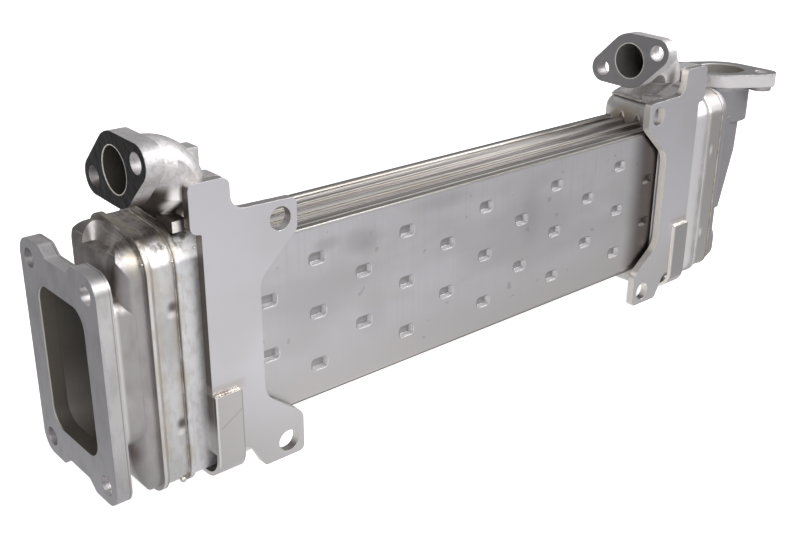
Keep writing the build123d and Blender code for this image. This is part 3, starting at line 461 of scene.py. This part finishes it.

# The diffuser is duller than the tanks, with painted shade on the upper part of its end behind the flange,
# and with brown clouds and paler ones.
end_shade = sheet.all_of(gas_side, sheet.ramp(sheet.ny, -0.8, -0.3), sheet.ramp(sheet.z, 20.0, 42.0))
brown_clouds = sheet.all_of(gas_side, sheet.patches((0.09, 0.09, 0.06), 0.42, 0.72, detail=4.0, shift=8.0))
pale_clouds = sheet.all_of(gas_side, sheet.patches((0.07, 0.07, 0.03), 0.46, 0.74, detail=3.0, shift=14.0))
sheet.lay(gas_side, (0.47, 0.45, 0.45))
sheet.lay(end_shade, (0.27, 0.25, 0.24))
sheet.lay(brown_clouds, (0.40, 0.375, 0.365))
sheet.lay(pale_clouds, (0.58, 0.555, 0.54))

# Painted shade darkens the flat tops at both ends and the face of the outlet header. Painted light
# brightens the face of the outlet tank, and painted highlights lie on the crest and neck of the diffuser.
shaded_outlet_header_face = sheet.all_of(sheet.ramp(sheet.x, 423.3, 423.8), sheet.ramp(sheet.ny, 0.0, -0.5))
lit_outlet_tank_face = sheet.all_of(sheet.near(sheet.x, OUTLET_TANK_X, OUTLET_TANK_HALF, 1.0),
                                sheet.ramp(sheet.ny, -0.5, -0.8))
sheet.lay(sheet.all_of(flat_top, inlet_end), (0.36, 0.335, 0.32))
sheet.lay(shaded_outlet_header_face, (0.48, 0.455, 0.455))
sheet.lay(lit_outlet_tank_face, (0.86, 0.84, 0.85))
sheet.lay(sheet.all_of(sheet.near(sheet.x, DIFFUSER_CREST_X, 0.3, 0.8), front), (0.80, 0.775, 0.76))
sheet.lay(sheet.all_of(sheet.near(sheet.x, DIFFUSER_NECK_X, 2.5, 2.0), front), (0.80, 0.775, 0.765))
sheet.lay(sheet.all_of(flat_top, sheet.ramp(sheet.x, 360.0, 370.0)), (0.49, 0.465, 0.46))

# On top of the inlet tank the mottling is dark, and all tops are lightly scored.
upper = sheet.ramp(sheet.nz, 0.3, 0.8)
scored = sheet.all_of(sheet.patches((1.6, 0.06, 0.5), 0.56, 0.66, shift=23.0),
                      sheet.ramp(sheet.nz, 0.2, 0.7))
sheet.lay(sheet.all_of(mottle, upper, inlet_end), (0.24, 0.215, 0.195))
sheet.lay(scored, (0.78, 0.75, 0.72), share=0.5)
warm = sheet.cloud((0.12, 0.12, 0.08), detail=3.0, shift=3.0)
for heated_x in HEATED_X:
    straw = sheet.all_of(sheet.near(sheet.x, heated_x, 1.0, 3.2), sheet.ramp(warm, 0.42, 0.6))
    brown = sheet.all_of(sheet.near(sheet.x, heated_x, 0.2, 0.7), sheet.ramp(warm, 0.36, 0.5))
    sheet.lay(straw, STRAW, share=0.5)
    sheet.lay(brown, BROWN, share=0.5)
for centre, reach, share, shade in SHEET_BLOTS:
    sheet.lay(sheet.blot(centre, reach), shade, share)

# Soot covers what the gas touches: the diffuser's inside, which faces the axis or
# the core, and the header seen through the flange.
outwards = sheet.calc("ADD", sheet.calc("MULTIPLY", sheet.y, sheet.ny),
                      sheet.calc("MULTIPLY", sheet.z, sheet.nz))
inner_wall = sheet.all_of(sheet.ramp(outwards, -1.0, -3.0), sheet.ramp(sheet.x, 41.2, 40.8))
end_wall = sheet.all_of(sheet.ramp(sheet.nx, 0.2, 0.5), sheet.ramp(sheet.x, 28.9, 28.0))
header_wall = sheet.all_of(sheet.near(sheet.x, INLET_HEADER_X, 0.6, 0.2), sheet.ramp(sheet.nx, -0.5, -0.8),
                           sheet.near(sheet.y, 0.0, HEADER_HOLE_HALF, 0.1))
soot = sheet.any_of(inner_wall, end_wall, header_wall)
sheet.lay(soot, SOOT)
sheet.lay(sheet.all_of(soot, sheet.ramp(sheet.z, 0.0, -34.0), sheet.ramp(sheet.y, -5.0, 14.0)), PALE_SOOT)
sheet.dull(soot, 0.6)
# The soot and the painted corner highlight are made less metallic.
sheet.hide_metal(sheet.any_of(soot, shoulder_highlight), 0.7)
sheet.press(sheet.cloud(0.07, shift=2.0), 0.35)
sheet.press(sheet.cloud(0.28, detail=4.0, shift=12.0), 0.10)
sheet.press(sheet.cloud((0.5, 2.2, 2.2)), 0.012)
sheet.dress("inlet_diffuser", "inlet_header", "inlet_coolant_tank", "outlet_coolant_tank", "outlet_header")

# Castings. Coolant elbows and gas outlet are investment castings, shot blasted to
# a bright fine grain, with machined flange faces and rough dark bores.
INLET_PORT_X, OUTLET_PORT_X, PORT_Y, PORT_RADIUS = 24.0, 350.5, -12.0, 10.0
BEND_X, BEND_Z, BEND_RADIUS = 36.0, 72.0, 14.5
GAS_CAST_FROM_X, GAS_PORT_X, GAS_PORT_RADIUS, GAS_SEAT_Z = 436.0, 465.5, 15.0, 64.5
GAS_RIM_Z, GAS_RIM_HALF = 60.0, 3.4
BETWEEN_ELBOWS_X = 300.0

cast = SteelSkin("shot_blasted_casting", (0.71, 0.685, 0.695), roughness=0.56, edge=0.8)
cast.lay(cast.patches(0.06, 0.4, 0.7, detail=4.0), (0.62, 0.60, 0.605))
cast.lay(cast.patches(0.2, 0.5, 0.7, detail=3.0, shift=5.0), (0.56, 0.52, 0.47), share=0.4)
cast.lay(cast.patches(0.5, 0.48, 0.64, detail=5.0, shift=31.0), (0.47, 0.45, 0.445), share=0.45)
cast.press(cast.cloud(0.2, detail=3.0), 0.35)
cast.press(cast.cloud(0.55, detail=4.0, shift=19.0), 0.16)
cast.press(cast.cloud(1.5, detail=3.0), 0.09)

# The inlet elbow's neck is painted dark as painted shade, but for one upright painted highlight, and the
# outlet elbow's neck has a blot of painted shade beside a painted highlight.
inlet_elbow = cast.ramp(cast.x, BETWEEN_ELBOWS_X, BETWEEN_ELBOWS_X - 1.0)
outlet_elbow = cast.ramp(cast.x, BETWEEN_ELBOWS_X - 1.0, BETWEEN_ELBOWS_X)
gas_cast = cast.ramp(cast.x, GAS_CAST_FROM_X, GAS_CAST_FROM_X + 1.0)
highlight_streak = cast.all_of(cast.near(cast.x, 44.6, 0.4, 3.4), cast.ramp(cast.ny, -0.2, -0.5))
neck_highlight = cast.all_of(highlight_streak, cast.ramp(cast.z, 82.0, 72.0))
cast.lay(cast.all_of(cast.ramp(cast.z, 80.0, 74.0), cast.rest(highlight_streak), inlet_elbow), (0.16, 0.14, 0.125))
cast.lay(neck_highlight, (0.93, 0.905, 0.88))
cast.lay(cast.all_of(cast.near(cast.z, GAS_RIM_Z, GAS_RIM_HALF, 0.4), gas_cast), (0.80, 0.775, 0.79))
cast.lay(cast.blot((377.5, -21, 74), (4.5, 9, 10)), (0.16, 0.145, 0.135), share=0.9)
cast.lay(cast.blot((371, -23, 73), (4.5, 8, 8)), (0.94, 0.92, 0.90), share=0.9)
cast.lay(cast.all_of(gas_cast, cast.ramp(cast.z, 57.0, 52.0)), (0.38, 0.365, 0.38))

# The seats of the three flanges are machined, and the inlet elbow's is painted nearly black, a painted dark
# reflection.
machined = cast.ramp(cast.nx, -0.9, -0.98)
inlet_seat = cast.all_of(machined, cast.near(cast.x, INLET_PORT_X, 0.3, 0.3))
outlet_seat = cast.all_of(machined, cast.near(cast.x, OUTLET_PORT_X, 0.3, 0.3))
gas_seat = cast.all_of(cast.ramp(cast.nz, 0.9, 0.98), cast.near(cast.z, GAS_SEAT_Z, 0.3, 0.3))
cast.lay(inlet_seat, (0.025, 0.024, 0.028))
cast.lay(outlet_seat, (0.31, 0.30, 0.31))
cast.lay(gas_seat, (0.55, 0.535, 0.55))
cast.dull(cast.any_of(inlet_seat, outlet_seat, gas_seat), 0.32)

# The coolant bores run straight from the seat and then turn down round the bend's
# centre. Their radius is measured from the pipe's middle line, for both elbows.
elbow_shift = cast.calc("MULTIPLY", outlet_elbow, OUTLET_PORT_X - INLET_PORT_X)
local_x = cast.calc("SUBTRACT", cast.x, elbow_shift)
past_bend = cast.calc("MAXIMUM", cast.calc("SUBTRACT", local_x, BEND_X), 0.0)
from_bend = cast.across(past_bend, cast.calc("SUBTRACT", cast.z, BEND_Z))
from_middle = cast.across(cast.calc("SUBTRACT", from_bend, BEND_RADIUS),
                          cast.calc("SUBTRACT", cast.y, PORT_Y))
bore = cast.all_of(cast.ramp(from_middle, PORT_RADIUS + 0.45, PORT_RADIUS + 0.3),
                   cast.ramp(cast.z, BEND_Z - 1.0, BEND_Z))
bore_rim = cast.all_of(cast.near(from_middle, PORT_RADIUS + 0.1, 0.25, 0.08),
                       cast.ramp(local_x, INLET_PORT_X + 0.5, INLET_PORT_X + 0.2))
cast.lay(cast.all_of(bore, inlet_elbow), (0.05, 0.043, 0.036))
cast.lay(cast.all_of(bore, outlet_elbow), (0.15, 0.14, 0.138))
cast.lay(bore_rim, (0.70, 0.665, 0.60))

# The gas bore is grey inside and has a bright edge at the seat.
from_axis = cast.across(cast.calc("SUBTRACT", cast.x, GAS_PORT_X), cast.y)
gas_bore = cast.all_of(cast.ramp(from_axis, GAS_PORT_RADIUS + 0.3, GAS_PORT_RADIUS + 0.15),
                       cast.ramp(cast.nz, 0.9, 0.6), cast.ramp(cast.z, 30.0, 33.0))
gas_bore_edge = cast.ramp(cast.z, GAS_SEAT_Z - 0.9, GAS_SEAT_Z - 0.5)
cast.lay(gas_bore, (0.34, 0.32, 0.30))
cast.lay(cast.all_of(gas_bore, gas_bore_edge), (0.85, 0.83, 0.82))
# The bores and the painted highlight on the neck are made less metallic.
cast.hide_metal(cast.any_of(bore, gas_bore, neck_highlight), 0.6)
cast.dress("inlet_coolant_elbow", "outlet_coolant_elbow", "gas_outlet_elbow")

# Brackets and straps. Laser-cut plate with a smooth satin face. The cut edges are bright, with painted
# light on the outlet bracket's edges that face the inlet end and painted shadow on the left edge of the
# inlet bracket, and the face is browned above the straps, where they are welded on.
SCORCHED_X, SCORCHED_Z = (60.0, 395.0), -17.8
SCRATCH_X, SCRATCH_Z, SCRATCH_SLOPE = 60.5, -32.8, 0.6

plate = SteelSkin("satin_bracket_plate", (0.68, 0.665, 0.70), roughness=0.4, edge=0.3)
cut = plate.ramp(plate.apart(plate.ny), 0.5, 0.3)
shadowed_left_cut = plate.all_of(cut, plate.ramp(plate.nx, -0.6, -0.9), plate.ramp(plate.x, 60.0, 58.0),
                        plate.ramp(plate.z, -42.0, -30.0))
lit_far_cut = plate.all_of(cut, plate.ramp(plate.nx, -0.4, -0.8), plate.ramp(plate.x, 350.0, 360.0))
strap_face = plate.all_of(plate.ramp(plate.y, -28.6, -28.9), plate.ramp(plate.ny, -0.3, -0.6))
plate.lay(plate.patches(0.02, 0.4, 0.7, detail=3.0), (0.64, 0.62, 0.645))
plate.lay(plate.ramp(plate.z, -10.0, -60.0), (0.575, 0.555, 0.56))
plate.lay(cut, (0.62, 0.60, 0.585))
# Painted shadow on the left edge of the inlet bracket, fading out towards its foot.
plate.lay(shadowed_left_cut, (0.17, 0.145, 0.125))
# Painted light on the outlet bracket's edges that face the inlet end.
plate.lay(lit_far_cut, (0.80, 0.755, 0.71))
plate.hide_metal(lit_far_cut, 0.7)
plate.dull(cut, 0.34)
plate.lay(strap_face, (0.575, 0.55, 0.55))
# Painted shade darkens the outlet strap. Each strap has a painted highlight on its left edge and a painted
# shadow line along its right edge.
plate.lay(plate.all_of(strap_face, plate.ramp(plate.x, 300.0, 310.0)), (0.43, 0.41, 0.415))
for left_x, right_x in STRAP_EDGES:
    plate.lay(plate.all_of(strap_face, plate.near(plate.x, left_x + 0.5, 0.3, 0.4)), (0.80, 0.78, 0.775))
    plate.lay(plate.all_of(strap_face, plate.near(plate.x, right_x - 0.2, 0.2, 0.3)), (0.42, 0.40, 0.39))
for scorched_x in SCORCHED_X:
    scorch = plate.all_of(plate.near(plate.x, scorched_x, 6.5, 5.0),
                          plate.near(plate.z, SCORCHED_Z, 1.0, 2.6))
    plate.lay(scorch, (0.52, 0.47, 0.42), share=0.5)

# One slanting scratch crosses the inlet strap, along z = z0 + slope (x - x0).
scratch_run = plate.calc("MULTIPLY", plate.calc("SUBTRACT", plate.x, SCRATCH_X), SCRATCH_SLOPE)
scratch_gap = plate.calc("ADD", scratch_run, plate.calc("SUBTRACT", SCRATCH_Z, plate.z))
scratch = plate.all_of(plate.near(scratch_gap, 0.0, 0.15, 0.6), plate.near(plate.x, SCRATCH_X, 5.0, 1.5),
                       plate.ramp(plate.y, -29.0, -29.2))
plate.lay(scratch, (0.36, 0.35, 0.35), share=0.5)
plate.press(plate.cloud(0.08), 0.12)
plate.press(plate.cloud(1.6), 0.012)
plate.dress("inlet_bracket", "outlet_bracket", "inlet_strap", "outlet_strap")

# Core. Covers, ducts and strips are thin brushed sheet, wiped with a cloth that
# has left faint upright streaks and grey smudges. Inside the ducts it is sooty.
SMUDGES = (
    ((143, -21, 30), (17, 6, 9), 0.4, (0.33, 0.315, 0.325)),
    ((146, -21, 25), (9, 6, 7), 0.35, (0.36, 0.335, 0.335)),
    ((122, -21, 33), (12, 6, 5), 0.4, (0.36, 0.35, 0.355)),
    ((196, -21, 38), (30, 6, 7), 0.4, (0.36, 0.35, 0.37)),
    ((262, -21, 14), (12, 6, 24), 0.35, (0.36, 0.35, 0.37)),
    ((150, -21, -10), (12, 6, 22), 0.3, (0.38, 0.37, 0.38)),
    ((345, -21, -36), (12, 6, 12), 0.6, (0.80, 0.78, 0.78)),
)

core = SteelSkin("brushed_core_sheet", (0.62, 0.605, 0.635), roughness=0.36, edge=0.25)
core.lay(core.patches((0.012, 0.02, 0.03), 0.38, 0.72, detail=3.0), (0.51, 0.495, 0.515))
core.lay(core.patches((0.6, 0.05, 0.02), 0.45, 0.8), (0.50, 0.49, 0.50), share=0.35)
for centre, reach, share, shade in SMUDGES:
    core.lay(core.blot(centre, reach), shade, share)
core.lay(core.ramp(core.z, 5.0, -45.0), (0.52, 0.50, 0.505))
core.lay(core.patches((0.03, 0.03, 0.05), 0.5, 0.7, detail=4.0, shift=27.0), (0.55, 0.51, 0.505), share=0.4)
core.lay(core.patches(0.22, 0.81, 0.85, detail=0.0, shift=21.0), (0.30, 0.285, 0.28), share=0.4)

# The top and the foot of the core have long drawn lines, and the bent rims of the covers carry painted
# shade with a thin painted highlight along the crest.
off_axis_z = core.apart(core.z)
off_axis_y = core.apart(core.y)
top_and_foot = core.ramp(off_axis_z, 42.0, 43.5)
drawn_lines = core.patches((0.004, 1.1, 1.1), 0.46, 0.56, detail=3.0, shift=11.0)
rim = core.all_of(core.ramp(off_axis_z, 43.6, 43.9), core.ramp(off_axis_y, 19.3, 19.6))
core.lay(top_and_foot, (0.58, 0.56, 0.54))
core.lay(core.all_of(top_and_foot, drawn_lines), (0.27, 0.25, 0.23))
core.lay(rim, (0.07, 0.066, 0.062))
core.dull(rim, 0.55)
core.lay(core.all_of(rim, core.near(core.z, 44.9, 0.05, 0.12)), (0.26, 0.25, 0.245))

# Dimples. They stand in columns, every second one half a step higher. Round each runs a pressed lip, with
# painted shade at its upper left and a painted highlight at its lower right. Their floors are darker, with
# painted shade in their upper part, and painted light brightens their walls.
COLUMN_X, COLUMN_PITCH, ROW_PITCH = 227.4, 27.8, 27.3
DIMPLE_FLAT_X, DIMPLE_FLAT_Z, LIP_RADIUS = 2.8, 1.1, 1.95

column = core.calc("DIVIDE", core.calc("SUBTRACT", core.x, COLUMN_X), COLUMN_PITCH)
column_number = core.calc("ROUND", column)
dimple_x = core.calc("MULTIPLY", core.calc("SUBTRACT", column, column_number), COLUMN_PITCH)
odd_column = core.apart(core.calc("MODULO", column_number, 2.0))
stagger = core.calc("MULTIPLY", odd_column, ROW_PITCH / 2)
row = core.calc("DIVIDE", core.calc("SUBTRACT", core.z, stagger), ROW_PITCH)
dimple_z = core.calc("MULTIPLY", core.calc("SUBTRACT", row, core.calc("ROUND", row)), ROW_PITCH)
past_flat_x = core.calc("MAXIMUM", core.calc("SUBTRACT", core.apart(dimple_x), DIMPLE_FLAT_X), 0.0)
past_flat_z = core.calc("MAXIMUM", core.calc("SUBTRACT", core.apart(dimple_z), DIMPLE_FLAT_Z), 0.0)
from_flat = core.across(past_flat_x, past_flat_z)
cover_face = core.all_of(core.ramp(core.apart(core.ny), 0.5, 0.8), core.ramp(off_axis_z, 35.0, 34.0),
                         core.ramp(off_axis_y, 20.5, 20.7))
lip = core.all_of(cover_face, core.near(from_flat, LIP_RADIUS, 0.15, 0.4))
lip_side = core.calc("SUBTRACT", core.calc("DIVIDE", dimple_z, 2.8), core.calc("DIVIDE", dimple_x, 4.5))
core.lay(core.all_of(lip, core.ramp(lip_side, 0.0, 0.7)), (0.33, 0.32, 0.325))
core.lay(core.all_of(lip, core.ramp(lip_side, -0.2, -0.9)), (0.80, 0.78, 0.79))
dent = core.all_of(core.ramp(off_axis_y, 20.75, 20.6), core.ramp(off_axis_z, 36.0, 35.0),
                   core.ramp(core.x, 85.0, 86.0), core.ramp(core.x, 370.0, 369.0))
lit_wall = core.all_of(dent, core.any_of(core.ramp(core.nx, -0.35, -0.6), core.ramp(core.nz, 0.35, 0.6)))
core.lay(dent, (0.40, 0.39, 0.40))
core.lay(core.all_of(dent, core.ramp(dimple_z, -1.0, 2.0)), (0.30, 0.29, 0.295))
core.lay(lit_wall, (0.62, 0.605, 0.615))
core.hide_metal(lit_wall, 0.5)

# Painted shade and a painted reflection of the bracket darken the front cover where it runs in behind the
# outlet bracket, and the ends of the ducts on the gas side are black.
bracket_shade = core.all_of(core.ramp(core.x, 345.0, 364.0), core.ramp(core.y, 0.0, -12.0),
                    core.ramp(core.z, 45.0, 41.0))
unlit = core.rest(core.calc("MULTIPLY", lit_wall, 0.6))
core.lay(core.all_of(bracket_shade, unlit), (0.12, 0.10, 0.09), share=0.9)
core.lay(core.ramp(core.x, 42.0, 41.0), (0.06, 0.05, 0.042))
core.press(core.cloud((1.8, 0.2, 0.12)), 0.012)
core.press(core.cloud(0.03), 0.3)
core.dress("front_cover", "rear_cover", "gas_duct_front", "gas_duct_middle", "gas_duct_rear",
           "gas_fin_front", "gas_fin_middle", "gas_fin_rear",
           "top_strip_front", "top_strip_rear", "bottom_strip_front", "bottom_strip_rear")

# Table. A wide white sheet under the straps and the gas inlet flange, lit so that
# it fades out to white behind the object.
TABLE_REACH, TABLE_WHITE, TABLE_GLOW = 25.0, 0.86, 0.75
floor_z = cad_box[0][2]


def wide_square(name, reach, z):
    """Flat square at height z, from minus to plus reach along X and Y."""
    mesh = bpy.data.meshes.new(name)
    corners = [(-reach, -reach, z), (reach, -reach, z), (reach, reach, z), (-reach, reach, z)]
    mesh.from_pydata(corners, [], [(0, 1, 2, 3)])
    square = bpy.data.objects.new(name, mesh)
    bpy.context.collection.objects.link(square)
    return square


table = wide_square("table", TABLE_REACH, floor_z)
paper = bpy.data.materials.new("white_table")
paper.use_nodes = True
paper_shader = paper.node_tree.nodes["Principled BSDF"]
paper_shader.inputs["Base Color"].default_value = (TABLE_WHITE, TABLE_WHITE, TABLE_WHITE, 1)
paper_shader.inputs["Roughness"].default_value = 0.9
paper_shader.inputs["Emission Color"].default_value = (1, 1, 1, 1)
paper_shader.inputs["Emission Strength"].default_value = TABLE_GLOW
table.data.materials.append(paper)

# Studio light. A dim room, a little lighter overhead, one wide soft box high at the
# right in front, and a weaker one at the left in front.
ROOM_FROM, ROOM_TO, ROOM_DIM, ROOM_LIGHT = 0.3, 0.8, 0.25, 0.55
SOFT_BOXES = (
    ("top_box", (1.08, -0.74, 0.85), (0.2, 0.0, 0.0), (1.0, 0.8), 17.0),
    ("front_box", (-0.40, -1.0, 0.65), (0.1, 0.0, 0.0), (0.8, 0.6), 6.2),
)

world = bpy.data.worlds.new("studio_room")
world.use_nodes = True
room = world.node_tree
aim = room.nodes.new("ShaderNodeTexCoord")
split = room.nodes.new("ShaderNodeSeparateXYZ")
height = room.nodes.new("ShaderNodeMapRange")
room.links.new(aim.outputs["Generated"], split.inputs[0])
room.links.new(split.outputs[2], height.inputs[0])
for socket, value in zip(height.inputs[1:], (ROOM_FROM, ROOM_TO, ROOM_DIM, ROOM_LIGHT)):
    socket.default_value = value
room.links.new(height.outputs[0], room.nodes["Background"].inputs["Strength"])
room.nodes["Background"].inputs["Color"].default_value = (1, 1, 1, 1)
bpy.context.scene.world = world

for name, where, target, size, power in SOFT_BOXES:
    box_light = bpy.data.lights.new(name, "AREA")
    box_light.shape = "RECTANGLE"
    box_light.size, box_light.size_y = size
    box_light.energy = power
    lamp = bpy.data.objects.new(name, box_light)
    lamp.location = where
    lamp.rotation_euler = (Vector(target) - Vector(where)).to_track_quat("-Z", "Y").to_euler()
    bpy.context.collection.objects.link(lamp)

# Graded card. It lies just above the table and only shows in the gloss of the
# steel. Its glow changes along the cooler and is brightest below its inlet half.
CARD_REACH, CARD_LIFT, CARD_FROM_X, CARD_TO_X = 2.5, 0.0001, -0.2, 0.8
CARD_STOPS = ((0.0, 0.36), (0.15, 0.35), (0.2, 0.5), (0.3, 0.88), (0.34, 0.96), (0.46, 0.76), (0.65, 0.64),
              (0.8, 0.56), (1.0, 0.42))

card = wide_square("graded_card", CARD_REACH, floor_z + CARD_LIFT)
card.visible_camera = card.visible_diffuse = card.visible_shadow = card.visible_transmission = False
card_paint = bpy.data.materials.new("graded_card")
card_paint.use_nodes = True
grade = card_paint.node_tree
grade.nodes.remove(grade.nodes["Principled BSDF"])
glow = grade.nodes.new("ShaderNodeEmission")
card_place = grade.nodes.new("ShaderNodeTexCoord")
card_split = grade.nodes.new("ShaderNodeSeparateXYZ")
card_run = grade.nodes.new("ShaderNodeMapRange")
card_ramp = grade.nodes.new("ShaderNodeValToRGB")
grade.links.new(card_place.outputs["Object"], card_split.inputs[0])
grade.links.new(card_split.outputs[0], card_run.inputs[0])
card_run.inputs[1].default_value, card_run.inputs[2].default_value = CARD_FROM_X, CARD_TO_X
for index, (at, value) in enumerate(CARD_STOPS):
    mark = card_ramp.color_ramp.elements[index] if index < 2 else card_ramp.color_ramp.elements.new(at)
    mark.position = at
    mark.color = (value, value, value, 1)
grade.links.new(card_run.outputs[0], card_ramp.inputs[0])
grade.links.new(card_ramp.outputs[0], glow.inputs["Color"])
grade.links.new(glow.outputs[0], grade.nodes["Material Output"].inputs["Surface"])
card.data.materials.append(card_paint)
